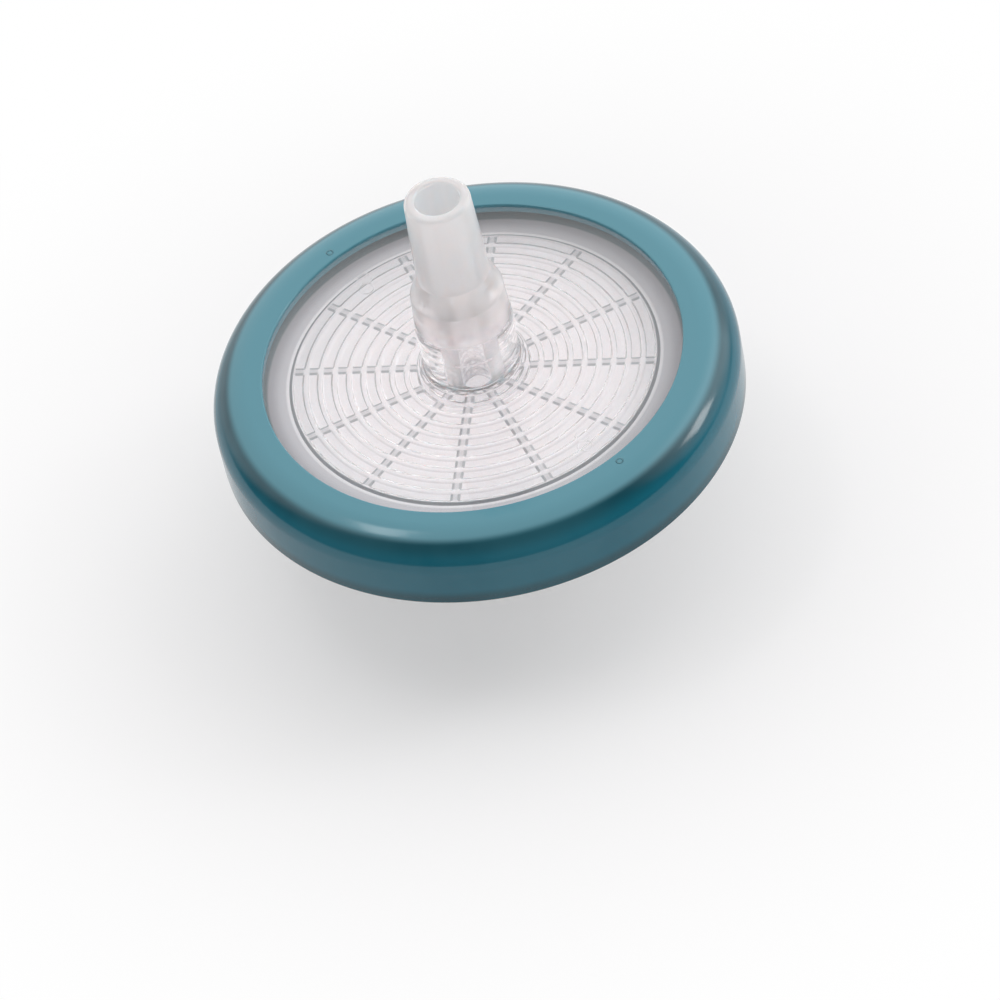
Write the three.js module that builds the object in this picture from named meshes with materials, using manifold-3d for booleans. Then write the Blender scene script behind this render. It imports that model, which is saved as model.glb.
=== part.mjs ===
// Disc filter with hose stems, for lab tubing and syringes. Millimetres, +Z up.
//
// Two clear moulded housings clamp a filter disc and its backing web, and a ring moulded
// round their rims holds the stack together. Both housings are one design, turned face to
// face: a thick round window with ribs and radial channels on its inner side, a thinner flange
// round it that the ring grips, and a stepped hose stem. The stem on top, the inlet, is the
// longer one.
//
// The origin is at the centre of the outlet stem's end, which the filter stands on, and +Z
// runs along the axis towards the inlet. Heights inside a housing are counted from the middle
// of the filter stack, outwards.

import * as THREE from 'three';
import { mergeVertices } from 'three/addons/utils/BufferGeometryUtils.js';
import Module from 'manifold-3d';

const wasm = await Module();
wasm.setup();

// ---- Driving dimensions -------------------------------------------------------------------

const FACETS = 48;                    // round the wide pieces
const FINE_FACETS = 24;               // round the stems and the inner ribs
const FINE_RADIUS = 14;               // ribs inside this radius need only the fewer facets

const MEMBRANE_RADIUS = 31.5;         // filter disc and both housings' flanges
const MEMBRANE_THICKNESS = 0.2;
const WEB_THICKNESS = 0.3;            // backing web under the filter disc
const CLAMP_WIDTH = 6.8;              // edge of the disc that the flanges hold
const MEMBRANE_FIT = 0.1;             // play between the disc and the ribs

const WINDOW_THICKNESS = 3.82;        // from the roots of the ribs to the flat face
const FLANGE_THICKNESS = 2.3;
const FLANGE_WIDTH = 3.6;             // from the window's side to the flange's edge
const RIB_PITCH = 1.95;
const RIB_WIDTH = 0.9;
const RIB_DRAFT = 0.25;               // how much wider each side of a rib is at its root
const RIB_HEIGHT = 0.4;
const RIB_MARGIN = 0.65;              // free ring between the last rib and the chamber's wall
const WELL_RADIUS = 3.0;              // ribless middle of the chamber
const CHANNEL_COUNT = 12;
const CHANNEL_WIDTH = 0.75;           // at the roots of the ribs
const CHANNEL_DRAFT = 0.25;           // how much further each side of a channel is at the crests

const RING_CLEARANCE = 0.3;
const RING_WALL = 3.7;
const RING_PROUD = 0.305;             // how far the ring stands out over the window
const RING_SETBACK = 0.3;             // from the window's side to the ring's inner edge
const RING_EDGE = 0.25;               // bevel of the ring's inner edges
const RING_FLAT = 1.8;                // flat part of the upper face
const RING_ROLL = 4.375;              // height of the rolled outer shoulder
const RING_FOOT = 0.3;                // bevel of the lower outer edge
const ROLL_STEPS = 7;

const TIP_RADIUS = 4.38;              // stem, at its open end
const TIP_ROUND = 0.45;
const TUBE_RADIUS = 4.9;              // stem, just above its shoulder
const SHOULDER_RADIUS = 6.2;
const BARB_RADIUS = 6.65;             // widest line of the stem's thick half
const NECK_RADIUS = 6.4;
const SHOULDER_LENGTH = 3.2;
const BARB_LAND = 0.6;                // height of the step behind the widest line
const STEM_FILLET = 1.0;
const ROUND_STEPS = 3;

const BORE_RADIUS = 2.95;             // takes a syringe tip or a tube
const BORE_STEP = 1.0;                // length of the cone below it
const PORT_RADIUS = 2.0;              // passage through the thick half

const INLET = { neck: 4.93, barb: 7.6, tube: 13.4 };
const OUTLET = { neck: 2.53, barb: 5.0, tube: 9.0 };

// ---- Sizes that follow --------------------------------------------------------------------

const stackHalf = (MEMBRANE_THICKNESS + WEB_THICKNESS) / 2;
const ribCrest = stackHalf + MEMBRANE_FIT;
const chamberRoof = ribCrest + RIB_HEIGHT;
const windowFace = chamberRoof + WINDOW_THICKNESS;
const flangeTop = stackHalf + FLANGE_THICKNESS;
const ringHalf = windowFace + RING_PROUD;

const chamberRadius = MEMBRANE_RADIUS - CLAMP_WIDTH;
const windowRadius = MEMBRANE_RADIUS - FLANGE_WIDTH;
const ringBore = MEMBRANE_RADIUS + RING_CLEARANCE;
const ringRadius = ringBore + RING_WALL;
const ringOpening = windowRadius + RING_SETBACK;

const stemLength = (stem) => stem.neck + stem.barb + SHOULDER_LENGTH + stem.tube;
const middle = windowFace + stemLength(OUTLET);

// ---- Helpers ------------------------------------------------------------------------------

// Turns a closed outline of [radius, height] points about Z. The points run anticlockwise
// with the radius to the right and the height up. A turn of half a facet puts the channels,
// which lie between the axes, on the middles of the facets.
function turned(outline, facets, turn = Math.PI / facets) {
  const points = outline.map(([radius, height]) => new THREE.Vector2(radius, height));
  points.push(points[0].clone());
  const geometry = new THREE.LatheGeometry(points, facets, turn);
  return geometry.rotateX(Math.PI / 2);
}

function toSolid(geometry) {
  geometry.deleteAttribute('normal');
  geometry.deleteAttribute('uv');
  const merged = mergeVertices(geometry, 1e-5);
  const corners = merged.index.array;
  const triangles = [];
  for (let i = 0; i < corners.length; i += 3) {
    const [a, b, c] = corners.slice(i, i + 3);
    if (a !== b && b !== c && c !== a) triangles.push(a, b, c);
  }
  return new wasm.Manifold(new wasm.Mesh({
    numProp: 3,
    vertProperties: new Float32Array(merged.attributes.position.array),
    triVerts: new Uint32Array(triangles),
  }));
}

function toGeometry(solid) {
  const mesh = solid.getMesh();
  const geometry = new THREE.BufferGeometry();
  geometry.setAttribute('position', new THREE.BufferAttribute(mesh.vertProperties, 3));
  geometry.setIndex(new THREE.BufferAttribute(mesh.triVerts, 1));
  geometry.computeVertexNormals();
  return geometry;
}

// Points on a quarter ellipse, from angle start to angle end, both in degrees.
function arc(centreRadius, centreHeight, width, height, start, end, steps) {
  return Array.from({ length: steps + 1 }, (_, step) => {
    const angle = THREE.MathUtils.degToRad(start + (end - start) * step / steps);
    return [centreRadius + width * Math.cos(angle), centreHeight + height * Math.sin(angle)];
  });
}

// ---- Housing ------------------------------------------------------------------------------

// Window plate and flange, with the chamber over the filter disc open below.
function plate() {
  return toSolid(turned([
    [PORT_RADIUS, chamberRoof],
    [chamberRadius, chamberRoof],
    [chamberRadius, stackHalf],
    [MEMBRANE_RADIUS, stackHalf],
    [MEMBRANE_RADIUS, flangeTop],
    [windowRadius, flangeTop],
    [windowRadius, windowFace],
    [PORT_RADIUS, windowFace],
  ], FACETS));
}

// One concentric rib under the window, its root sunk into the plate.
function rib(radius) {
  const crest = RIB_WIDTH / 2;
  const root = crest + RIB_DRAFT;
  const sunk = chamberRoof + WINDOW_THICKNESS / 4;
  return toSolid(turned([
    [radius - crest, ribCrest],
    [radius + crest, ribCrest],
    [radius + root, chamberRoof],
    [radius + root, sunk],
    [radius - root, sunk],
    [radius - root, chamberRoof],
  ], radius < FINE_RADIUS ? FINE_FACETS : FACETS));
}

// Radial channel with sloped sides that lets the flow cross the ribs. It is cut past the
// crests, on the same slope.
function channel(index) {
  const floor = CHANNEL_WIDTH / 2;
  const mouth = floor + 2 * CHANNEL_DRAFT;
  const section = new THREE.Shape([
    new THREE.Vector2(-floor, chamberRoof),
    new THREE.Vector2(-mouth, chamberRoof - 2 * RIB_HEIGHT),
    new THREE.Vector2(mouth, chamberRoof - 2 * RIB_HEIGHT),
    new THREE.Vector2(floor, chamberRoof),
  ]);
  const length = chamberRadius - RIB_MARGIN / 2;
  const cut = new THREE.ExtrudeGeometry(section, { depth: length, bevelEnabled: false });
  cut.rotateX(Math.PI / 2).rotateZ(Math.PI / 2 + (index + 0.5) * 2 * Math.PI / CHANNEL_COUNT);
  return toSolid(cut);
}

// Stepped hose stem: fillet, neck, barb, rounded shoulder and tapered tube.
function stem({ neck, barb, tube }) {
  const barbFoot = windowFace + neck;
  const shoulder = barbFoot + barb;
  const tubeFoot = shoulder + SHOULDER_LENGTH;
  const tip = tubeFoot + tube;
  const fillet = arc(NECK_RADIUS + STEM_FILLET, windowFace + STEM_FILLET,
    STEM_FILLET, STEM_FILLET, 270, 180, ROUND_STEPS);
  const round = arc(TIP_RADIUS - TIP_ROUND, tip - TIP_ROUND,
    TIP_ROUND, TIP_ROUND, 0, 90, ROUND_STEPS);
  const shoulderRound = arc(TUBE_RADIUS, shoulder,
    SHOULDER_RADIUS - TUBE_RADIUS, SHOULDER_LENGTH, 0, 90, ROUND_STEPS);
  const root = NECK_RADIUS + STEM_FILLET;
  return toSolid(turned([
    [PORT_RADIUS, windowFace - WINDOW_THICKNESS / 2],
    [root, windowFace - WINDOW_THICKNESS / 2],
    ...fillet,
    [NECK_RADIUS, barbFoot - BARB_LAND],
    [BARB_RADIUS, barbFoot],
    ...shoulderRound,
    ...round,
    [BORE_RADIUS, tip],
    [BORE_RADIUS, tubeFoot],
    [PORT_RADIUS, tubeFoot - BORE_STEP],
  ], FINE_FACETS));
}

function housing(stemSizes) {
  let solid = plate().add(stem(stemSizes));
  const last = chamberRadius - RIB_MARGIN - RIB_WIDTH / 2;
  for (let radius = last; radius > WELL_RADIUS + RIB_WIDTH / 2; radius -= RIB_PITCH) {
    solid = solid.add(rib(radius));
  }
  for (let index = 0; index < CHANNEL_COUNT; index += 1) {
    solid = solid.subtract(channel(index));
  }
  return toGeometry(solid);
}

// ---- Ring, filter disc and web ------------------------------------------------------------

function ring() {
  const rollFoot = ringHalf - RING_ROLL;
  const rollStart = ringOpening + RING_FLAT;
  const roll = arc(rollStart, rollFoot, ringRadius - rollStart, RING_ROLL, 0, 90, ROLL_STEPS);
  return turned([
    [ringBore, flangeTop],
    [ringBore, -flangeTop],
    [ringOpening, -flangeTop],
    [ringOpening, RING_EDGE - ringHalf],
    [ringOpening + RING_EDGE, -ringHalf],
    [ringRadius - RING_FOOT, -ringHalf],
    [ringRadius, RING_FOOT - ringHalf],
    ...roll,
    [ringOpening + RING_EDGE, ringHalf],
    [ringOpening, ringHalf - RING_EDGE],
    [ringOpening, flangeTop],
  ], FACETS, 0);
}

function disc(thickness, base) {
  const geometry = new THREE.CylinderGeometry(
    MEMBRANE_RADIUS, MEMBRANE_RADIUS, thickness, FACETS, 1, false, Math.PI / FACETS);
  return geometry.rotateX(Math.PI / 2).translate(0, 0, base + thickness / 2);
}

// ---- Assembly -----------------------------------------------------------------------------

function piece(name, geometry, finish) {
  const mesh = new THREE.Mesh(geometry, new THREE.MeshStandardMaterial(finish));
  mesh.name = name;
  return mesh;
}

const clear = { color: 0xe9e5e6, roughness: 0.12, metalness: 0, transparent: true, opacity: 0.35 };
const teal = { color: 0x1f7482, roughness: 0.25, metalness: 0 };
const white = { color: 0xf4f2f1, roughness: 0.8, metalness: 0 };
const offWhite = { color: 0xe8e6e2, roughness: 0.9, metalness: 0 };

const filter = new THREE.Group();
filter.position.z = middle;

const inlet = piece('inlet_housing', housing(INLET), clear);
const outlet = piece('outlet_housing', housing(OUTLET), clear);
outlet.rotation.x = Math.PI;

filter.add(
  inlet,
  outlet,
  piece('overmould_ring', ring(), teal),
  piece('filter_membrane', disc(MEMBRANE_THICKNESS, stackHalf - MEMBRANE_THICKNESS), white),
  piece('backing_web', disc(WEB_THICKNESS, -stackHalf), offWhite),
);

const part = new THREE.Group();
part.add(filter);

export default part;
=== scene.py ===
"""Looks of a disc filter with hose stems, laid out as a Blender add-on.

Both clear housings, the ring moulded round them, the filter film and its backing web are
worked out as surfaces of revolution round Z, in metres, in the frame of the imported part.
Heights inside a housing are counted from the middle of the filter stack, outwards.
"""

import math

import bpy
import numpy as np
from bpy.props import FloatProperty, FloatVectorProperty, IntProperty, PointerProperty
from bpy.types import Operator, Panel, PropertyGroup
from mathutils import Matrix, Vector


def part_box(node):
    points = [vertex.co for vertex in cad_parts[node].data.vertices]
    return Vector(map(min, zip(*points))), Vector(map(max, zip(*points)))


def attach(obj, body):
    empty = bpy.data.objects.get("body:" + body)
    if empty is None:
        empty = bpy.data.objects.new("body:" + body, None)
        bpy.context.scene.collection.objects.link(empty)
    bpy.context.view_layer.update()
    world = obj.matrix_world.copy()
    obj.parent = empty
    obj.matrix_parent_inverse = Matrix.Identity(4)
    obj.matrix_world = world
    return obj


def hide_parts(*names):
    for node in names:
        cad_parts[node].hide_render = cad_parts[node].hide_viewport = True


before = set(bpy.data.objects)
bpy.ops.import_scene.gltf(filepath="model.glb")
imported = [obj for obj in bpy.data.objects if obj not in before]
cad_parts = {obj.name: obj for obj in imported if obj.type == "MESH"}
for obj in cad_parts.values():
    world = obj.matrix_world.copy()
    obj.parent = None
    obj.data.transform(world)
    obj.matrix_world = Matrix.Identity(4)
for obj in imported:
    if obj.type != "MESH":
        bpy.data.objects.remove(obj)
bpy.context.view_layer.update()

bl_info = {
    "name": "Disc filter with hose stems",
    "version": (1, 0, 0),
    "blender": (4, 5, 0),
    "location": "View3D > Sidebar > Disc Filter",
    "description": "Builds the clear housings, ring and filter disc round the packed part",
    "category": "Object",
}

MM = 0.001
BODY = "root"
INLET_LOW, INLET_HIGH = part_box("inlet_housing")
OUTLET_LOW, OUTLET_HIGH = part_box("outlet_housing")
RING_LOW, RING_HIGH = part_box("overmould_ring")
FILM_LOW, FILM_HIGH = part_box("filter_membrane")
WEB_LOW, WEB_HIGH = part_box("backing_web")
MIDDLE = (FILM_HIGH.z + WEB_LOW.z) / 2
STACK_HALF = FILM_HIGH.z - MIDDLE
STEEP = "steep"  # mesh attribute that says how much painted shade a wall gets
GATE_TURN = 122.0  # degrees from +X to the line of the gate and pin marks

# Columns of the meshes, round the axis
CHANNEL_COLUMNS = 4  # across a channel's floor
SECTOR_STEPS = 13  # across the ribs between two channels
RING_COLUMNS = 288
DISC_COLUMNS = 192

# Rows of the meshes, along their outlines
ROLL_ROWS = 25
DISC_ROWS = 24
DISC_EDGE_ROWS = 7

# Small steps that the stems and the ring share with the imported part
BARB_LAND = 0.6 * MM
SWELL_WIDTH = 0.35 * MM
SWELL_HEIGHT = 0.7 * MM
CONE_LENGTH = 1.0 * MM
RIM_GAP = 0.37 * MM
PARTING_HEIGHT = 1.0 * MM
PARTING_STEP = 0.03 * MM

# Finishes, and painted light and shade, set in smoothly between two distances: heights off the
# middle, or radii
NECK_HAZE = (5.0 * MM, 8.0 * MM)
STEM_HAZE = (12.0 * MM, 16.5 * MM)
STEM_TINT = (7.0 * MM, 11.0 * MM)
RIBBED_OUTSIDE = (7.0 * MM, 8.5 * MM)
RIBBED_BELOW = (0.8 * MM, 1.0 * MM)
RING_THICKENS = (0.9 * MM, 2.0 * MM)  # past the flange's rim
LIT_WALL_ENDS = (2.4 * MM, 4.0 * MM)
FILM_CLAMPED = (25.2 * MM, 25.5 * MM)
FILM_PRESSED = (25.8 * MM, 27.5 * MM)
FILM_SHADED = (27.7 * MM, 28.1 * MM)
FLOOR_FADES = (20.0 * MM, 110.0 * MM)

CHAMBER_WALL = 0.3 * MM  # points this near to the chamber's radius belong to its wall

# Shares from 0 to 1: haze in the clear plastic, painted shade on its walls, greyer tones and a
# painted shadow on the film
HAZE = {"everywhere": 0.06, "neck": 0.04, "stem": 0.48, "ribs": 0.28}
WALL_SHADE = {"channel_wall": 0.85, "channel_floor": 0.35, "sharp_flank": 0.15,
         "soft_flank": 0.04, "chamber_wall": 0.9}
FILM = {"mottle": 0.12, "clamped": 0.7, "pressed": 0.3, "shaded": 0.7}

CLEAR_IOR = 1.58
PLAIN_IOR = 1.49


# ---- Sizes and finishes that a user would change ------------------------------------------

def length(name, text, millimetres):
    """A size, given in millimetres and kept in metres."""
    return FloatProperty(name=name, description=text, default=millimetres * MM,
                         min=0.0, unit="LENGTH", subtype="DISTANCE", precision=5)


def colour(name, text, rgb):
    """A linear RGB colour."""
    return FloatVectorProperty(name=name, description=text, default=rgb, size=3,
                               min=0.0, max=1.0, subtype="COLOR")


class FilterSizes(PropertyGroup):
    """Sizes of the mouldings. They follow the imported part, with softer ribs and edges."""
    window_thickness: length("Window thickness", "From the ribs' roots to the face", 3.82)
    window_radius: length("Window radius", "Window's side, pressed against the ring", 28.22)
    flange_thickness: length("Flange thickness", "Flange that the ring grips", 2.3)
    chamber_radius: length("Chamber radius", "Inner radius of the room over the film",
                           24.78)
    chamber_draft: length("Chamber draft", "How much wider the chamber is at the film",
                          0.34)
    film_play: length("Film play", "Play between the film and the ribs", 0.1)
    film_bite: length("Film bite", "How deep the clamped edge is pressed in", 0.02)
    rib_pitch: length("Rib pitch", "Distance from rib to rib", 1.95)
    rib_width: length("Rib width", "Width of a rib's crest", 0.9)
    rib_draft: length("Rib draft", "Extra width of a rib's root on each side", 0.35)
    rib_height: length("Rib height", "From the roots to the crests' level", 0.4)
    rib_relief: length("Rib relief", "Depth of the outer grooves, which are softer", 0.2)
    sharp_radius: length("Sharp radius", "Ribs inside it, under the stem, stay sharp", 8.0)
    rib_margin: length("Rib margin", "Free ring outside the last rib", 0.65)
    rib_count: IntProperty(name="Rib count", description="Ribs under a window",
                           default=11, min=1)
    channel_width: length("Channel width", "Width of a radial channel's floor", 0.75)
    channel_draft: length("Channel draft", "Slope of each channel wall", 0.25)
    channel_count: IntProperty(name="Channel count", description="Radial channels",
                               default=12, min=3)
    neck_radius: length("Neck radius", "Stem just above its fillet", 6.4)
    barb_radius: length("Barb radius", "Widest line of the stem", 6.65)
    shoulder_radius: length("Shoulder radius", "Stem below its shoulder", 6.2)
    tube_radius: length("Tube radius", "Stem just above its shoulder", 4.9)
    tip_radius: length("Tip radius", "Stem at its open end", 4.38)
    stem_fillet: length("Stem fillet", "Round at the stem's foot", 1.0)
    shoulder_length: length("Shoulder length", "Height of the rounded shoulder", 3.2)
    bore_radius: length("Bore radius", "Bore of the thin half", 2.95)
    port_radius: length("Port radius", "Passage of the thick half", 2.0)
    inlet_neck: length("Inlet neck", "Neck height of the inlet stem", 4.93)
    inlet_barb: length("Inlet barb", "Barb height of the inlet stem", 7.6)
    outlet_neck: length("Outlet neck", "Neck height of the outlet stem", 2.53)
    outlet_barb: length("Outlet barb", "Barb height of the outlet stem", 5.0)
    ring_opening: length("Ring opening", "Inner radius of the ring's lips", 28.2)
    ring_flat: length("Ring flat", "Flat part of the ring's upper face", 1.8)
    ring_roll: length("Ring roll", "Height of the rolled shoulder", 4.375)
    gate_radius: length("Gate radius", "Where the gate marks sit on the ring", 29.6)
    gate_size: length("Gate size", "Radius of a gate mark's crown", 0.42)
    pin_radius: length("Pin radius", "Where the pin marks sit on the window", 22.3)
    pin_size: length("Pin size", "Radius of a pin mark", 0.95)
    mark_bead: length("Mark bead", "Half width of the line round a mark", 0.14)


class FilterFinishes(PropertyGroup):
    """Colours of the materials."""
    clear_tint: colour("Clear tint", "Clear plastic of the windows", (0.925, 0.905, 0.92))
    stem_tint: colour("Stem tint", "Clear plastic of the stems", (1.0, 0.96, 0.962))
    through_tint: colour("Through tint", "Light that the plastic lets through",
                         (0.96, 0.955, 0.96))
    # Painted shade: a grey laid on the steep little walls for the dark lines that refraction
    # draws there
    wall_shade: colour("Wall shade", "Grey of the steep little walls", (0.33, 0.34, 0.36))
    milk: colour("Milk", "Haze where the clear plastic is thick", (1.0, 0.85, 0.85))
    # Haze round the bore, tinted bluish as a painted reflection of the teal seen down it
    bore_haze_and_reflection: colour("Bore milk", "Haze round the bore", (0.82, 0.87, 0.90))
    ring_colour: colour("Ring colour", "Teal of the rolled edge", (0.002, 0.060, 0.085))
    lip_colour: colour("Lip colour", "Teal where the ring is thin", (0.085, 0.265, 0.330))
    # Painted light: the wall's teal is paler than the rolled edge's, for light coming through
    # the wall
    lit_wall_colour: colour("Wall colour", "Teal of the ring's wall", (0.002, 0.120, 0.175))
    film_colour: colour("Film colour", "White of the filter film", (0.88, 0.87, 0.88))
    mottle_colour: colour("Mottle colour", "Greyer spots of the film", (0.80, 0.79, 0.80))
    clamped_colour: colour("Clamped film", "Film pressed by the flanges", (0.52, 0.51, 0.54))
    shaded_colour: colour("Shaded film", "Film beside the ring", (0.10, 0.18, 0.20))
    web_colour: colour("Web colour", "Off-white of the web's fibres", (0.80, 0.79, 0.76))
    web_fibre_shade: colour("Web depth", "Shade between the web's fibres", (0.62, 0.61, 0.58))
    floor_colour: colour("Floor colour", "Pale floor", (0.86, 0.85, 0.86))


# ---- Surfaces worked out with numpy -------------------------------------------------------

def unit(vectors):
    """Each vector divided by its length."""
    return vectors / np.maximum(np.linalg.norm(vectors, axis=-1, keepdims=True), 1e-12)


def rounded(corners, steps=6, hold=0.12):
    """Closed outline with rounded corners, from rows of radius, height and rounding.

    Each corner becomes an arc that touches both of its sides: the arc's centre lies on the
    halving line at rounding / sin(half angle), and its points are the spherical blend of the
    two touching radii. One more point on each side, a share of the rounding away, keeps the
    shading of the flat stretches flat.
    """
    corners = np.asarray(corners, dtype=float)
    place, rounding = corners[:, :2], corners[:, 2:3]
    back = unit(np.roll(place, 1, axis=0) - place)
    ahead = unit(np.roll(place, -1, axis=0) - place)
    half = np.arccos(np.clip(np.sum(back * ahead, axis=1, keepdims=True), -1, 1)) / 2
    reach = rounding / np.tan(half)
    centre = place + unit(back + ahead) * rounding / np.sin(half)
    first, last = place + back * reach - centre, place + ahead * reach - centre
    swing = np.maximum(math.pi - 2 * half, 1e-6)[:, None]
    share = np.linspace(0, 1, steps + 1)[None, :, None]
    blend = (np.sin((1 - share) * swing) * first[:, None]
             + np.sin(share * swing) * last[:, None]) / np.sin(swing)
    arcs = centre[:, None] + blend
    before = (place + back * reach * (1 + hold))[:, None]
    after = (place + ahead * reach * (1 + hold))[:, None]
    return np.concatenate([before, arcs, after], axis=1).reshape(-1, 2)


def smooth_step(value, low, high):
    """Zero below low, one above high, and 3t^2 - 2t^3 between them."""
    share = np.clip((value - low) / (high - low), 0, 1)
    return share * share * (3 - 2 * share)


def grid_object(name, points, close_rows=True, steep=None):
    """A mesh from a grid of points, rows along the outline and columns round the axis.

    Columns always close on themselves. Where the rows don't, the grid ends in two poles.
    A grid of shares from 0 to 1 goes into the mesh as the attribute that paints grey shade on
    steep walls.
    """
    rows, columns = points.shape[:2]
    row = np.arange(rows if close_rows else rows - 1)[:, None]
    column = np.arange(columns)[None, :]
    below, above = row * columns, (row + 1) % rows * columns
    beside = (column + 1) % columns
    faces = np.stack([below + column, below + beside, above + beside, above + column], axis=-1)
    faces = faces.reshape(-1, 4)
    mesh = bpy.data.meshes.new(name)
    mesh.vertices.add(rows * columns)
    mesh.vertices.foreach_set("co", points.reshape(-1).astype(np.float32))
    mesh.loops.add(faces.size)
    mesh.loops.foreach_set("vertex_index", faces.reshape(-1).astype(np.int32))
    mesh.polygons.add(len(faces))
    mesh.polygons.foreach_set("loop_start", np.arange(0, faces.size, 4, dtype=np.int32))
    mesh.update(calc_edges=True)
    mesh.polygons.foreach_set("use_smooth", np.ones(len(faces), dtype=bool))
    mesh.validate()
    if steep is not None:
        shares = mesh.attributes.new(STEEP, "FLOAT", "POINT")
        shares.data.foreach_set("value", steep.reshape(-1).astype(np.float32))
    result = bpy.data.objects.new(name, mesh)
    bpy.context.scene.collection.objects.link(result)
    return result


def turned(outline, angles):
    """Grid of points: every outline point, a radius and a height, carried round the axis."""
    radius, height = outline[:, :1], outline[:, 1:]
    return np.stack([radius * np.cos(angles), radius * np.sin(angles),
                     height + 0 * angles], axis=-1)


# ---- Shader maths -------------------------------------------------------------------------

class Value:
    """A socket that takes part in Python arithmetic: each operation adds a Math node."""

    def __init__(self, shader, socket):
        self.shader, self.socket = shader, socket

    def math(self, operation, *others):
        return self.shader.node("ShaderNodeMath", {"operation": operation}, self, *others)

    def __add__(self, other):
        return self.math("ADD", other)

    def __radd__(self, other):
        return self.math("ADD", other)

    def __sub__(self, other):
        return self.math("SUBTRACT", other)

    def __rsub__(self, other):
        return self.shader.node("ShaderNodeMath", {"operation": "SUBTRACT"}, other, self)

    def __mul__(self, other):
        return self.math("MULTIPLY", other)

    def __rmul__(self, other):
        return self.math("MULTIPLY", other)

    def __abs__(self):
        return self.math("ABSOLUTE")

    def between(self, low, high):
        """Zero at low, one at high, smooth between them."""
        return self.shader.node("ShaderNodeMapRange", {"interpolation_type": "SMOOTHSTEP"},
                                self, low, high, 0.0, 1.0)


class Shader:
    """The node tree of a material or a world, and the shorthand that fills it."""

    def __init__(self, owner):
        self.owner = owner
        owner.use_nodes = True
        self.tree = owner.node_tree
        self.tree.nodes.clear()

    def node(self, kind, settings=None, *values, output=0, **named):
        """Adds a node, sets its settings, then fills its sockets by order or by name."""
        made = self.tree.nodes.new(kind)
        for key, setting in (settings or {}).items():
            setattr(made, key, setting)
        sockets = list(zip(range(len(values)), values))
        sockets += [(key.replace("_", " "), value) for key, value in named.items()]
        for key, value in sockets:
            self.fill(made.inputs[key], value)
        return Value(self, made.outputs[output])

    def fill(self, socket, value):
        """Links a value to a socket, or sets the socket to a number, vector or colour."""
        if isinstance(value, Value):
            self.tree.links.new(value.socket, socket)
        elif socket.type == "RGBA" and len(value) == 3:
            socket.default_value = (*value, 1.0)
        else:
            socket.default_value = value

    def place(self):
        """Object coordinates, in metres."""
        return self.node("ShaderNodeTexCoord", output="Object")

    def axis(self, name):
        return self.node("ShaderNodeSeparateXYZ", None, self.place(), output=name)

    def radius(self):
        """Distance from the Z axis."""
        x, y = self.axis("X"), self.axis("Y")
        return (x * x + y * y).math("SQRT")

    def noise(self, scale, detail, where=None):
        return self.node("ShaderNodeTexNoise", None, Vector=where or self.place(), Scale=scale,
                         Detail=detail)

    def mixed(self, factor, first, second):
        """A colour between two colours."""
        made = self.tree.nodes.new("ShaderNodeMix")
        made.data_type = "RGBA"
        for key, value in (("Factor_Float", factor), ("A_Color", first), ("B_Color", second)):
            socket = next(s for s in made.inputs if s.identifier == key)
            self.fill(socket, value)
        return Value(self, next(s for s in made.outputs if s.identifier == "Result_Color"))

    def circle(self, centre, size, bead):
        """One along two small circles, opposite each other at a radius on the gates' line."""
        along = math.radians(GATE_TURN)
        where = self.place()
        line, across = (
            self.node("ShaderNodeVectorMath", {"operation": "DOT_PRODUCT"}, where, way,
                      output="Value")
            for way in ((math.cos(along), math.sin(along), 0.0),
                        (-math.sin(along), math.cos(along), 0.0)))
        off = abs(line) - centre
        return 1 - abs((off * off + across * across).math("SQRT") - size).between(0.0, bead)

    def bump(self, height, depth, strength=1.0, **under):
        """Normals of a height from 0 to 1 that stands for so many metres."""
        return self.node("ShaderNodeBump", None, Strength=strength, Distance=depth,
                         Height=height, **under)

    def finish(self, surface, kind="ShaderNodeOutputMaterial"):
        """Ends the tree in its output, and gives back the material or world."""
        output = self.tree.nodes.new(kind)
        self.tree.links.new(surface.socket, output.inputs["Surface"])
        return self.owner


def material(name):
    return Shader(bpy.data.materials.new(name))


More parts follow.
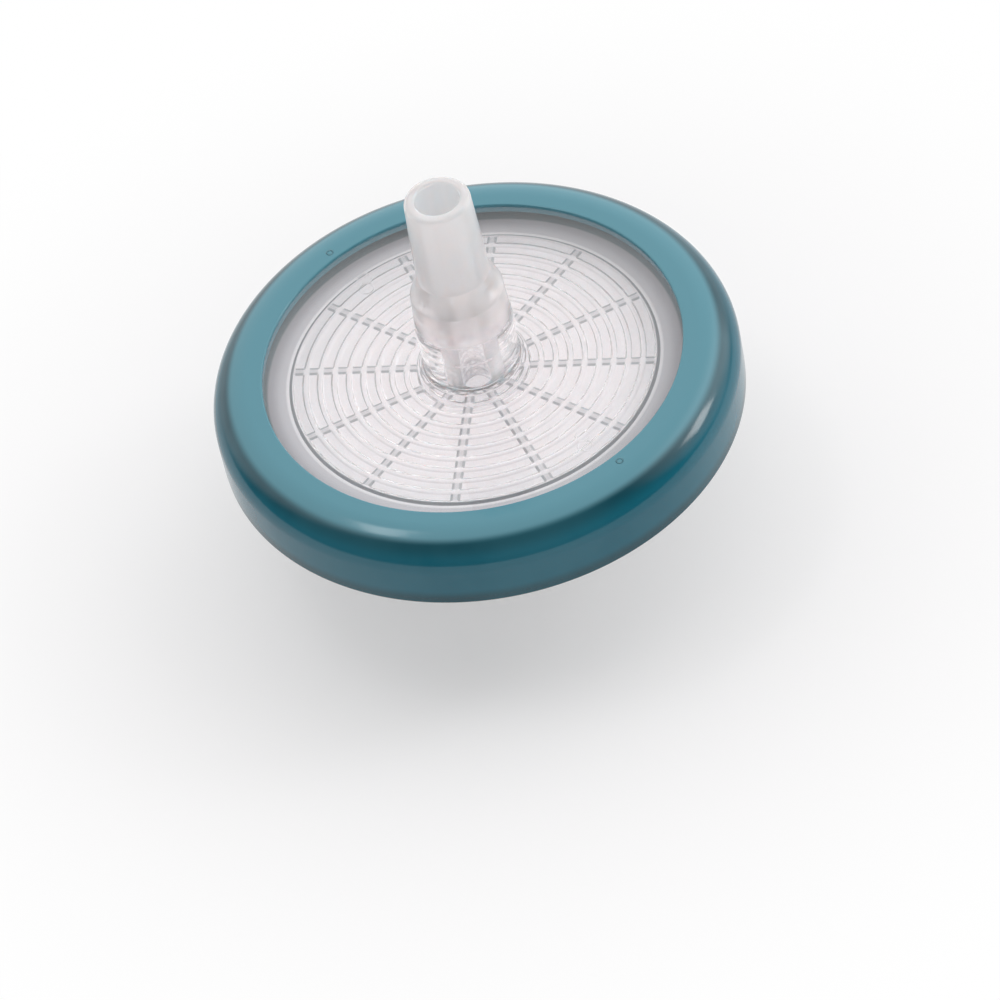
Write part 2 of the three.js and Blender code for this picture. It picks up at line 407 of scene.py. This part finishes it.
def clear_plastic(finishes, sizes):
    """Clear moulding that turns milky along the stems, where the real one is thick.

    Haze is a share of milk mixed into the clear plastic: a little everywhere, more up the
    stems and over the ribs, and round the bore it is tinted bluish as a painted reflection.
    The steep little walls get a painted grey shade, by the attribute that the mesh carries,
    standing in for the dark lines that refraction draws there. Shadow rays and diffuse rays
    pass straight through.
    """
    shader = material("clear_housing")
    off_middle = abs(shader.axis("Z") - MIDDLE)
    milky = off_middle.between(*NECK_HAZE) * HAZE["neck"] + HAZE["everywhere"]
    milky = milky + off_middle.between(*STEM_HAZE) * HAZE["stem"]
    ribbed = shader.radius().between(*RIBBED_OUTSIDE)
    ribbed = ribbed * (1 - off_middle.between(*RIBBED_BELOW))
    milky = milky + ribbed * HAZE["ribs"]
    steep = shader.node("ShaderNodeAttribute", {"attribute_name": STEEP}, output="Fac")
    # Painted reflection: the haze inside the bore's radius takes the bluish tint
    outside = shader.radius().between(sizes.bore_radius, sizes.bore_radius + 0.4 * MM)
    haze = shader.mixed(outside, finishes.bore_haze_and_reflection[:], finishes.milk[:])
    wave = shader.bump(shader.noise(220.0, 2.0), 0.00002, 0.08)
    pin = shader.circle(sizes.pin_radius, sizes.pin_size, sizes.mark_bead)
    wave = shader.bump(pin, 0.00004, Normal=wave)
    tint = shader.mixed(off_middle.between(*STEM_TINT), finishes.clear_tint[:],
                        finishes.stem_tint[:])
    clear = shader.node("ShaderNodeBsdfPrincipled", None, Base_Color=tint,
                        Roughness=ribbed * 0.5 + 0.04, IOR=CLEAR_IOR,
                        Transmission_Weight=1.0, Normal=wave)
    milk = shader.node("ShaderNodeBsdfPrincipled", None, Base_Color=haze,
                       Roughness=0.25, IOR=PLAIN_IOR, Subsurface_Weight=1.0,
                       Subsurface_Radius=(1.0, 0.85, 0.8), Subsurface_Scale=0.008,
                       Normal=wave)
    plastic = shader.node("ShaderNodeMixShader", None, milky, clear, milk)
    # Painted shade: grey diffuse mixed over the steep walls by the mesh attribute
    shaded_walls = shader.node("ShaderNodeBsdfPrincipled", None, Base_Color=finishes.wall_shade[:],
                          Roughness=0.6, IOR=PLAIN_IOR)
    plastic = shader.node("ShaderNodeMixShader", None, steep, plastic, shaded_walls)
    through = shader.node("ShaderNodeBsdfTransparent", None, finishes.through_tint[:])
    for name in ("Is Shadow Ray", "Is Diffuse Ray"):
        ray = shader.node("ShaderNodeLightPath", output=name)
        plastic = shader.node("ShaderNodeMixShader", None, ray, plastic, through)
    return shader.finish(plastic)


def ring_plastic(finishes, sizes):
    """Teal moulding with a soft gloss, paler where it lies thin over the clear flange.

    Its straight wall gets a paler teal as painted light, for the light that comes through it,
    so that the rolled edges look deepest.
    """
    shader = material("ring_plastic")
    thick = shader.radius().between(*(INLET_HIGH.x + past for past in RING_THICKENS))
    # Painted light on the straight wall: the low band gets the paler teal
    low = 1 - abs(shader.axis("Z") - MIDDLE).between(*LIT_WALL_ENDS)
    cloud = shader.noise(60.0, 3.0)
    solid = shader.mixed(low, finishes.ring_colour[:], finishes.lit_wall_colour[:])
    base = shader.mixed(thick, finishes.lip_colour[:], solid)
    base = shader.mixed(cloud.between(0.35, 0.65) * 0.15, base, finishes.lip_colour[:])
    peel = shader.bump(shader.noise(900.0, 2.0), 0.000012, 0.3)
    crown = shader.circle(sizes.gate_radius, sizes.gate_size, sizes.mark_bead)
    peel = shader.bump(crown, 0.0002, Normal=peel)
    gloss = shader.node("ShaderNodeBsdfPrincipled", None, Base_Color=base,
                        Roughness=shader.noise(150.0, 3.0) * 0.08 + 0.10, IOR=PLAIN_IOR,
                        Normal=peel)
    return shader.finish(gloss)


def film_finish(finishes):
    """Matt white film with the fine mottle of a stretched membrane.

    Its clamped edge is greyer, because there the clear plastic lies on it without air between,
    and beside the ring it carries a painted shadow of the ring.
    """
    shader = material("filter_film")
    mottle = shader.noise(1500.0, 4.0)
    base = shader.mixed(mottle * FILM["mottle"], finishes.film_colour[:],
                        finishes.mottle_colour[:])
    clamped = shader.radius().between(*FILM_CLAMPED) * FILM["clamped"]
    clamped = clamped + shader.radius().between(*FILM_PRESSED) * FILM["pressed"]
    base = shader.mixed(clamped, base, finishes.clamped_colour[:])
    # Painted shadow of the ring on the film beside it
    shaded = shader.radius().between(*FILM_SHADED) * FILM["shaded"]
    base = shader.mixed(shaded, base, finishes.shaded_colour[:])
    grain = shader.bump(mottle, 0.00003, 0.5)
    return shader.finish(shader.node("ShaderNodeBsdfPrincipled", None, Base_Color=base,
                                     Roughness=0.75, Normal=grain))


def web_finish(finishes):
    """Bonded fibre web: stretched noise in two directions stands for the fibres, with painted
    shade between them.
    """
    shader = material("backing_web")
    where = shader.place()
    along = shader.node("ShaderNodeMapping", None, where, Scale=(400.0, 2600.0, 400.0))
    across = shader.node("ShaderNodeMapping", None, where, Scale=(2600.0, 400.0, 400.0))
    fibres = shader.noise(1.0, 2.0, along).math("MAXIMUM", shader.noise(1.0, 2.0, across))
    # Painted shade between the fibres
    base = shader.mixed(fibres, finishes.web_fibre_shade[:], finishes.web_colour[:])
    return shader.finish(shader.node("ShaderNodeBsdfPrincipled", None, Base_Color=base,
                                     Roughness=0.85, Normal=shader.bump(fibres, 0.00006)))


def floor_finish(finishes):
    """Pale floor that keeps the shadow and runs out into a white background."""
    shader = material("floor")
    distance = shader.node("ShaderNodeVectorMath", {"operation": "LENGTH"}, shader.place(),
                           output="Value")
    ray = shader.tree.nodes.new("ShaderNodeLightPath")
    seen = [Value(shader, ray.outputs[name])
            for name in ("Is Camera Ray", "Is Glossy Ray", "Is Transmission Ray")]
    shown = seen[0].math("MAXIMUM", seen[1]).math("MAXIMUM", seen[2])
    far = distance.between(*FLOOR_FADES) * 0.65 + 0.35
    plain = shader.node("ShaderNodeBsdfPrincipled", None, Roughness=0.9,
                        Base_Color=finishes.floor_colour[:])
    white = shader.node("ShaderNodeEmission", None, (1.0, 1.0, 1.0), 1.0)
    return shader.finish(shader.node("ShaderNodeMixShader", None, far * shown, plain, white))


# ---- Pieces -------------------------------------------------------------------------------

def dress(piece, look, slot, *nodes):
    """Gives a piece its material and body, and hides the CAD nodes that it stands for. The
    slot is not used.
    """
    piece.data.materials.append(look)
    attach(piece, BODY)
    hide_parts(*nodes)


def sector_angles(sizes, radii):
    """Angles round the axis, one row for each outline point.

    Every sector between two channels has the same share of columns. Inside a channel they
    follow its straight sides: half a width off the centre line is asin(half / radius). Near
    the axis the radius is held at five widths, because the channels would meet there.
    """
    radii = np.maximum(radii, 5 * sizes.channel_width)[:, None]
    edge = np.arcsin(sizes.channel_width / 2 / radii)
    start = np.arcsin((sizes.channel_width / 2 + sizes.channel_draft) / radii)
    sector = 2 * math.pi / sizes.channel_count
    beside = 1.12 * start
    rest = beside + (sector - 2 * beside) * np.linspace(0, 1, SECTOR_STEPS)[None, :]
    one = np.concatenate([-edge, -0.65 * edge, 0.65 * edge, edge, start, rest,
                          sector - start], axis=1)
    turns = (np.arange(sizes.channel_count) + 0.5) * sector
    return (turns[None, :, None] + one[:, None, :]).reshape(len(radii), -1), one.shape[1]


def housing_outline(sizes, neck, barb, tip):
    """Closed outline of one housing, anticlockwise, and the rows that carry the ribs.

    It runs from the port along the chamber's roof, down the chamber wall, round the flange,
    over the window, up the stem and back down its bore. Under the window the radii follow
    the ribs, and heights there are the roof's until the ribs are cut in.
    """
    crest = STACK_HALF + sizes.film_play
    roof = crest + sizes.rib_height
    window = roof + sizes.window_thickness
    flange_top = STACK_HALF + sizes.flange_thickness
    flange_radius = INLET_HIGH.x
    clamp = STACK_HALF - sizes.film_bite
    barb_foot = window + neck
    shoulder = barb_foot + barb
    tube_foot = shoulder + sizes.shoulder_length
    bore, port = sizes.bore_radius, sizes.port_radius
    rim = rounded([
        (sizes.chamber_radius - sizes.chamber_draft / 2, roof, 0.12 * MM),
        (sizes.chamber_radius + sizes.chamber_draft / 2, clamp, 0.04 * MM),
        (flange_radius, clamp, 0.1 * MM),
        (flange_radius, flange_top, 0.2 * MM),
        (sizes.window_radius, flange_top, 0.1 * MM),
        (sizes.window_radius, window, 0.02 * MM),
        (sizes.neck_radius + 0.02 * MM, window, sizes.stem_fillet),
        (sizes.neck_radius, barb_foot - BARB_LAND, 0.15 * MM),
        (sizes.barb_radius, barb_foot, 0.12 * MM),
        (sizes.shoulder_radius, shoulder + 0.2 * MM, 1.0 * MM),
        (sizes.tube_radius + SWELL_WIDTH, tube_foot - SWELL_HEIGHT, 0.8 * MM),
        (sizes.tube_radius, tube_foot + 0.3 * MM, 0.5 * MM),
        (sizes.tip_radius, tip, 0.6 * MM),
        (bore, tip, 0.35 * MM),
        (bore, tube_foot, 0.3 * MM),
        (port, tube_foot - CONE_LENGTH, 0.3 * MM),
        (port, roof, 0.3 * MM),
    ])
    crests = sizes.chamber_radius - sizes.rib_margin - sizes.rib_width / 2
    centres = crests - sizes.rib_pitch * np.arange(sizes.rib_count)[::-1]
    half, draft = sizes.rib_width / 2, sizes.rib_draft
    offsets = -half - draft * np.array([1.0, 0.8, 0.5, 0.2, 0.0])
    offsets = np.concatenate([offsets, [0.0], -offsets[::-1]])
    under = (centres[:, None] + offsets[None, :]).reshape(-1)
    ribs = np.stack([under, np.full_like(under, roof)], axis=1)
    return np.concatenate([ribs, rim]), len(under), centres, roof


def housing(sizes, neck, barb, tip):
    """Grid of one housing: its outline turned round the axis, with ribs and channels.

    Under the window the height is roof - relief * ridge(radius) * (1 - channel), where ridge
    falls from one to zero over the draft beside each rib's crest, and channel is one on the
    columns of a channel's floor. The second grid says how much painted grey shade each point
    gets, standing in for the dark lines of refraction: most at the channels' walls, where they
    cut a rib, and on the chamber's wall.
    """
    outline, ribbed, centres, roof = housing_outline(sizes, neck, barb, tip)
    angles, per_sector = sector_angles(sizes, outline[:, 0])
    points = turned(outline, angles)
    radius = outline[:ribbed, 0]
    off_rib = np.abs(radius[:, None] - centres[None, :]).min(axis=1)
    half = sizes.rib_width / 2
    sharp = radius < sizes.sharp_radius
    draft = np.where(sharp, 0.7, 1.0) * sizes.rib_draft
    ridge = 1 - smooth_step(off_rib, half, half + draft)
    relief = np.where(sharp, sizes.rib_height, sizes.rib_relief)
    column = np.arange(angles.shape[1]) % per_sector
    solid = (column >= CHANNEL_COLUMNS).astype(float)
    points[:ribbed, :, 2] = roof - (relief * ridge)[:, None] * solid
    walls = (0, CHANNEL_COLUMNS - 1, CHANNEL_COLUMNS, per_sector - 1)
    wall = np.isin(column, walls).astype(float)
    # Painted shade on the walls: how much grey each point gets
    crossing = (WALL_SHADE["channel_wall"] * wall
                + WALL_SHADE["channel_floor"] * (1 - solid) * (1 - wall))
    flank = np.where(sharp, WALL_SHADE["sharp_flank"], WALL_SHADE["soft_flank"])
    flank = flank * (1 - np.abs(2 * ridge - 1))
    steep = np.zeros(points.shape[:2])
    steep[:ribbed] = np.maximum(flank[:, None] * solid, ridge[:, None] ** 2 * crossing)
    off_wall = np.abs(outline[:, 0] - sizes.chamber_radius)
    on_wall = (off_wall < CHAMBER_WALL) & (outline[:, 1] <= roof)
    steep[ribbed:] = on_wall[ribbed:, None] * WALL_SHADE["chamber_wall"]
    return points, steep


class FILTER_OT_housings(Operator):
    """Build both clear housings: window with ribs and channels, flange, hose stem"""
    bl_idname = "disc_filter.housings"
    bl_label = "Clear housings"

    def execute(self, context):
        sizes = context.scene.filter_sizes
        plastic = clear_plastic(context.scene.filter_finishes, sizes)
        inlet, steep = housing(sizes, sizes.inlet_neck, sizes.inlet_barb,
                               INLET_HIGH.z - MIDDLE)
        inlet[..., 2] += MIDDLE
        dress(grid_object("inlet_moulding", inlet, steep=steep), plastic,
              "clear_housing", "inlet_housing")
        outlet, steep = housing(sizes, sizes.outlet_neck, sizes.outlet_barb,
                                MIDDLE - OUTLET_LOW.z)
        outlet[..., 2] = MIDDLE - outlet[..., 2]
        dress(grid_object("outlet_moulding", outlet[:, ::-1], steep=steep[:, ::-1]),
              plastic, "clear_housing", "outlet_housing")
        return {"FINISHED"}


def ring_outline(sizes):
    """Closed outline of the ring, with heights from its middle.

    Its rolled upper shoulder is a quarter ellipse, (a cos t, b sin t), which takes the place
    of the corners at the roll's two ends. A small step marks the mould's parting line.
    """
    half = (RING_HIGH.z - RING_LOW.z) / 2
    outer, opening = RING_HIGH.x, sizes.ring_opening
    flange_top = STACK_HALF + sizes.flange_thickness
    groove = INLET_HIGH.x + RIM_GAP
    roll_start = opening + sizes.ring_flat
    roll_foot = half - sizes.ring_roll
    parting = PARTING_HEIGHT - half
    before_roll = [
        (groove, flange_top, 0.1 * MM),
        (groove, -flange_top, 0.1 * MM),
        (opening, -flange_top, 0.05 * MM),
        (opening, -half, 0.25 * MM),
        (outer - PARTING_STEP, -half, 0.3 * MM),
        (outer - PARTING_STEP, parting - 0.05 * MM, 0.02 * MM),
        (outer, parting, 0.02 * MM),
    ]
    ends_of_roll = [(outer, roll_foot, 0.02 * MM), (roll_start, half, 0.02 * MM)]
    after_roll = [(opening, half, 0.25 * MM), (opening, flange_top, 0.05 * MM)]
    corners = before_roll + ends_of_roll + after_roll
    lower = rounded(corners)
    per_corner = len(lower) // len(corners)
    turn = np.linspace(0, math.pi / 2, ROLL_ROWS)
    roll = np.stack([roll_start + (outer - roll_start) * np.cos(turn),
                     roll_foot + sizes.ring_roll * np.sin(turn)], axis=1)
    return np.concatenate([lower[:len(before_roll) * per_corner], roll,
                           lower[-len(after_roll) * per_corner:]])


class FILTER_OT_ring(Operator):
    """Build the teal ring that is moulded round the rims of both housings"""
    bl_idname = "disc_filter.ring"
    bl_label = "Moulded ring"

    def execute(self, context):
        sizes = context.scene.filter_sizes
        angles = np.linspace(0, 2 * math.pi, RING_COLUMNS, endpoint=False)[None, :]
        points = turned(ring_outline(sizes), angles)
        points[..., 2] += (RING_HIGH.z + RING_LOW.z) / 2
        plastic = ring_plastic(context.scene.filter_finishes, sizes)
        dress(grid_object("ring_moulding", points), plastic, "ring", "overmould_ring")
        return {"FINISHED"}


def disc_points(low, high):
    """A flat round disc with rounded edges, from pole to pole through its outline."""
    radius, edge = high.x, (high.z - low.z) / 2
    turn = np.linspace(-math.pi / 2, math.pi / 2, DISC_EDGE_ROWS)
    rim = np.stack([radius - edge + edge * np.cos(turn), (low.z + high.z) / 2
                    + edge * np.sin(turn)], axis=1)
    inner = np.linspace(0, radius - edge, DISC_ROWS, endpoint=False)
    below = np.stack([inner, np.full_like(inner, low.z)], axis=1)
    above = np.stack([inner[::-1], np.full_like(inner, high.z)], axis=1)
    outline = np.concatenate([below, rim, above])
    angles = np.linspace(0, 2 * math.pi, DISC_COLUMNS, endpoint=False)[None, :]
    return turned(outline, angles)


class FILTER_OT_filter_stack(Operator):
    """Build the filter film and the fibre web that backs it"""
    bl_idname = "disc_filter.filter_stack"
    bl_label = "Filter film and web"

    def execute(self, context):
        finishes = context.scene.filter_finishes
        film = grid_object("filter_film", disc_points(FILM_LOW, FILM_HIGH),
                           close_rows=False)
        dress(film, film_finish(finishes), "membrane", "filter_membrane")
        web = grid_object("web_disc", disc_points(WEB_LOW, WEB_HIGH), close_rows=False)
        dress(web, web_finish(finishes), "web", "backing_web")
        return {"FINISHED"}


# ---- Stage --------------------------------------------------------------------------------

# Angles in degrees; the lens and the camera's place from its aim in millimetres
CAMERA = {"azimuth": 0.0, "elevation": 46.2, "roll": 12.65, "lens": 197.2,
          "right": -3.435, "down": -17.714, "ahead": 727.3}
AIM_HEIGHT = 2.5 * MM
SENSOR_WIDTH = 36.0


def add_camera(scene):
    """Camera looking down at the window, turned about its own axis by the roll."""
    azimuth, elevation, roll = (math.radians(CAMERA[key])
                                for key in ("azimuth", "elevation", "roll"))
    right = Vector((math.cos(azimuth), math.sin(azimuth), 0))
    back = Vector((math.sin(azimuth) * math.cos(elevation),
                   -math.cos(azimuth) * math.cos(elevation), math.sin(elevation)))
    up = back.cross(right)
    turned_right = right * math.cos(roll) - up * math.sin(roll)
    turned_up = right * math.sin(roll) + up * math.cos(roll)
    window = Vector((0, 0, MIDDLE + AIM_HEIGHT))
    spot = window + (back * CAMERA["ahead"] + turned_up * CAMERA["down"]
                     - turned_right * CAMERA["right"]) * MM
    data = bpy.data.cameras.new("camera")
    data.lens, data.sensor_width = CAMERA["lens"], SENSOR_WIDTH
    data.clip_start, data.clip_end = 0.01, 20.0
    camera = bpy.data.objects.new("camera", data)
    camera.matrix_world = Matrix((
        (turned_right.x, turned_up.x, back.x, spot.x),
        (turned_right.y, turned_up.y, back.y, spot.y),
        (turned_right.z, turned_up.z, back.z, spot.z),
        (0, 0, 0, 1)))
    scene.collection.objects.link(camera)
    scene.camera = camera


STUDIO_FILL = 0.16
STUDIO_PANELS = (
    # towards (azimuth 90 is behind the filter), height, dot product at the rim and inside
    {"towards": 90.0, "height": 37.0, "rim": 0.36, "core": 0.62, "strength": 1.06},
    {"towards": 15.0, "height": 33.0, "rim": 0.80, "core": 0.95, "strength": 1.02},
)


def direction(towards, height):
    """Unit vector at so many degrees from +X and above the floor."""
    towards, height = math.radians(towards), math.radians(height)
    return (math.cos(towards) * math.cos(height), math.sin(towards) * math.cos(height),
            math.sin(height))


def studio_light():
    """World with soft panels behind and beside the filter, and dark on the camera's side.

    Its strength is fill + sum of panel * smooth(direction . axis). The camera sees white.
    A lamp that casts no reflection fills in on the camera's side.
    """
    shader = Shader(bpy.data.worlds.new("studio"))
    way = shader.node("ShaderNodeTexCoord", output="Generated")
    lit = STUDIO_FILL
    for panel in STUDIO_PANELS:
        facing = shader.node("ShaderNodeVectorMath", {"operation": "DOT_PRODUCT"}, way,
                             direction(panel["towards"], panel["height"]), output="Value")
        lit = facing.between(panel["rim"], panel["core"]) * panel["strength"] + lit
    seen = shader.node("ShaderNodeLightPath", output="Is Camera Ray")
    return shader.finish(shader.node("ShaderNodeBackground", None, (1, 1, 1),
                                     lit * (1 - seen) + seen), "ShaderNodeOutputWorld")


LAMP_TARGET = Vector((0, 0, 0.03))
LAMPS = (
    # place and size in metres, power in watts
    {"name": "right_panel", "place": (0.85, 0.10, 0.60), "size": (0.25, 0.25), "power": 1.3},
    {"name": "top_strip", "place": (-0.31, 0.18, 0.93), "size": (0.30, 0.12), "power": 0.5},
)
FRONT_FILL = {"name": "front_fill", "place": (0.0, -1.0, 0.65), "size": (0.9, 0.9),
              "power": 3.0}
FRONT_COLOUR = (1.0, 0.965, 0.955)
FLOOR_REACH = 3.0


def add_lamp(scene, lamp):
    """Rectangular area lamp that faces the filter; gives back its object."""
    data = bpy.data.lights.new(lamp["name"], "AREA")
    data.shape, data.energy = "RECTANGLE", lamp["power"]
    data.size, data.size_y = lamp["size"]
    made = bpy.data.objects.new(lamp["name"], data)
    made.location = lamp["place"]
    away = Vector(lamp["place"]) - LAMP_TARGET
    made.rotation_euler = away.to_track_quat("Z", "Y").to_euler()
    scene.collection.objects.link(made)
    return made


def add_floor(scene):
    """Flat square floor at the height of zero."""
    mesh = bpy.data.meshes.new("floor")
    mesh.from_pydata([(-FLOOR_REACH, -FLOOR_REACH, 0), (FLOOR_REACH, -FLOOR_REACH, 0),
                      (FLOOR_REACH, FLOOR_REACH, 0), (-FLOOR_REACH, FLOOR_REACH, 0)],
                     [], [(0, 1, 2, 3)])
    floor = bpy.data.objects.new("floor", mesh)
    scene.collection.objects.link(floor)
    mesh.materials.append(floor_finish(scene.filter_finishes))


class FILTER_OT_stage(Operator):
    """Set the pale floor, the soft lamps, the world and the camera"""
    bl_idname = "disc_filter.stage"
    bl_label = "Stage"

    def execute(self, context):
        scene = context.scene
        add_floor(scene)
        scene.world = studio_light()
        for lamp in LAMPS:
            add_lamp(scene, lamp)
        front = add_lamp(scene, FRONT_FILL)
        front.data.color = FRONT_COLOUR
        front.visible_glossy = front.visible_transmission = False
        scene.view_settings.view_transform = "Standard"
        add_camera(scene)
        return {"FINISHED"}


class FILTER_PT_panel(Panel):
    """Buttons that build the filter piece by piece"""
    bl_label = "Disc Filter"
    bl_space_type = "VIEW_3D"
    bl_region_type = "UI"
    bl_category = "Disc Filter"

    def draw(self, context):
        for operator in OPERATORS:
            self.layout.operator(operator.bl_idname)


OPERATORS = (FILTER_OT_housings, FILTER_OT_ring, FILTER_OT_filter_stack, FILTER_OT_stage)
CLASSES = (FilterSizes, FilterFinishes, *OPERATORS, FILTER_PT_panel)


def register():
    for cls in CLASSES:
        bpy.utils.register_class(cls)
    bpy.types.Scene.filter_sizes = PointerProperty(type=FilterSizes)
    bpy.types.Scene.filter_finishes = PointerProperty(type=FilterFinishes)


def unregister():
    del bpy.types.Scene.filter_finishes
    del bpy.types.Scene.filter_sizes
    for cls in reversed(CLASSES):
        bpy.utils.unregister_class(cls)


def main():
    """Builds everything in order."""
    register()
    bpy.ops.disc_filter.housings()
    bpy.ops.disc_filter.ring()
    bpy.ops.disc_filter.filter_stack()
    bpy.ops.disc_filter.stage()


if __name__ == "__main__":
    main()
